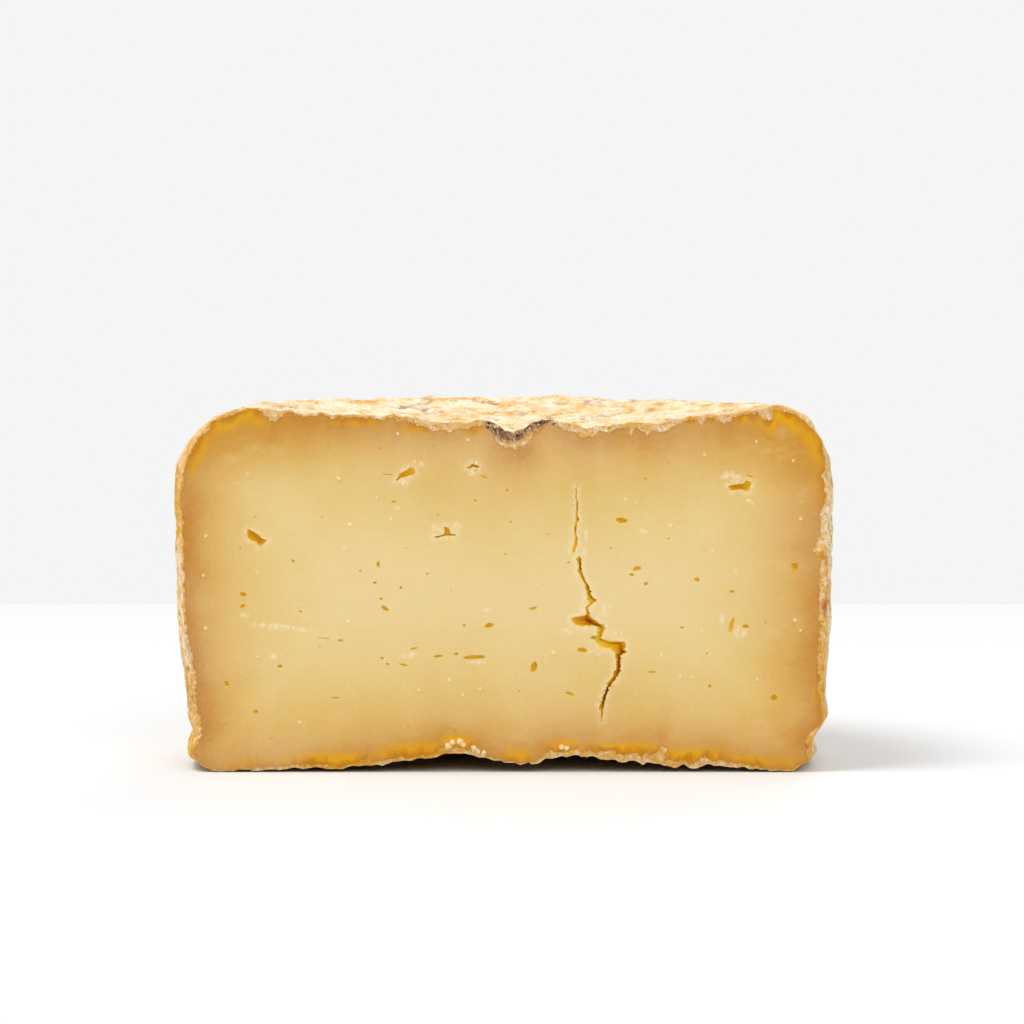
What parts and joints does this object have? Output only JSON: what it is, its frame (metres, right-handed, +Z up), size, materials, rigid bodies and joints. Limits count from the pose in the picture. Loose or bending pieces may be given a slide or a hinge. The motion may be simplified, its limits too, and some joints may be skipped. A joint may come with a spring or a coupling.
{
  "type": "cheese wheel",
  "caption": "Aged cheese wheel cut straight across in front of its middle: sunken round faces, rough rind, and a flat cut with small eyes and one upright crack.",
  "frame": {"origin": "middle of the piece's bounding box, at the level of the table that it rests on", "axes": "+Z up; -Y out of the cut face; +X along the cut, to the right as seen from the cut side"},
  "size_m": [0.1856, 0.1174, 0.1011],
  "materials": {
    "cheese": "satin cut paste under a rough matt rind"
  },
  "bodies": {
    "root": {"cheese_wheel": "cheese"}
  },
  "joints": []
}
